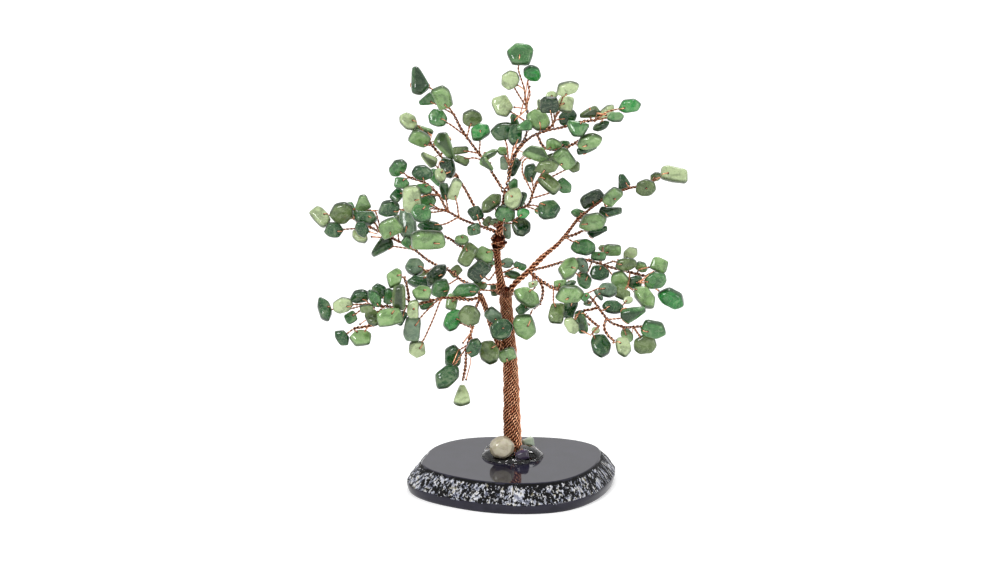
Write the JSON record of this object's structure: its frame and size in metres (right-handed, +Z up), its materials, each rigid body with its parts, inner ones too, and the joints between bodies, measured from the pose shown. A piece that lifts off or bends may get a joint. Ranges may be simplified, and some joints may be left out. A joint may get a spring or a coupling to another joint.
{
  "type": "gemstone tree ornament",
  "caption": "Small table tree of twisted copper wire, with green tumbled stone chips on its twigs, glued to a polished dark stone slab.",
  "frame": {"origin": "centre of the slab's flat underside, at table level", "axes": "+Z up along the trunk, +X to the tree's right as it faces the viewer, +Y away from the viewer"},
  "size_m": [0.1325, 0.0648, 0.1597],
  "materials": {
    "copper_wire": "bright twisted copper wire",
    "green_stone": "tumbled and polished green quartz",
    "dark_slab": "polished near-black stone with a rough pale rind",
    "clear_glue": "clear glossy glue",
    "cream_stone": "tumbled cream stone",
    "pale_stone": "tumbled pale green-white stone",
    "purple_stone": "tumbled purple stone"
  },
  "bodies": {
    "root": {"base_slab": "dark_slab", "foot_stone_cream": "cream_stone", "foot_stone_pale": "pale_stone", "foot_stone_purple": "purple_stone", "glue_puddle": "clear_glue", "knot_wrap": "copper_wire", "leader": "copper_wire", "limb_east": "copper_wire", "limb_hanging": "copper_wire", "limb_left": "copper_wire", "limb_left_high": "copper_wire", "limb_left_low": "copper_wire", "limb_left_mid": "copper_wire", "limb_right": "copper_wire", "limb_right_low": "copper_wire", "limb_right_mid": "copper_wire", "limb_top": "copper_wire", "limb_top_left": "copper_wire", "limb_top_right": "copper_wire", "limb_upper_left": "copper_wire", "limb_west": "copper_wire", "limb_west_upper": "copper_wire", "root_toes": "copper_wire", "stones_east": "green_stone", "stones_head": "green_stone", "stones_left_foot": "green_stone", "stones_left_low": "green_stone", "stones_left_low_tip": "green_stone", "stones_left_mid": "green_stone", "stones_left_tip": "green_stone", "stones_right_low": "green_stone", "stones_right_low_tip": "green_stone", "stones_right_mid": "green_stone", "stones_right_tip": "green_stone", "stones_top": "green_stone", "stones_top_left": "green_stone", "stones_top_right": "green_stone", "stones_trunk_top": "green_stone", "stones_upper_left": "green_stone", "stones_west": "green_stone", "stones_west_tip": "green_stone", "trunk": "copper_wire", "twigs_east": "copper_wire", "twigs_head": "copper_wire", "twigs_left_foot": "copper_wire", "twigs_left_low": "copper_wire", "twigs_left_low_tip": "copper_wire", "twigs_left_mid": "copper_wire", "twigs_left_tip": "copper_wire", "twigs_right_low": "copper_wire", "twigs_right_low_tip": "copper_wire", "twigs_right_mid": "copper_wire", "twigs_right_tip": "copper_wire", "twigs_top": "copper_wire", "twigs_top_left": "copper_wire", "twigs_top_right": "copper_wire", "twigs_trunk_top": "copper_wire", "twigs_upper_left": "copper_wire", "twigs_west": "copper_wire", "twigs_west_tip": "copper_wire"}
  },
  "joints": []
}
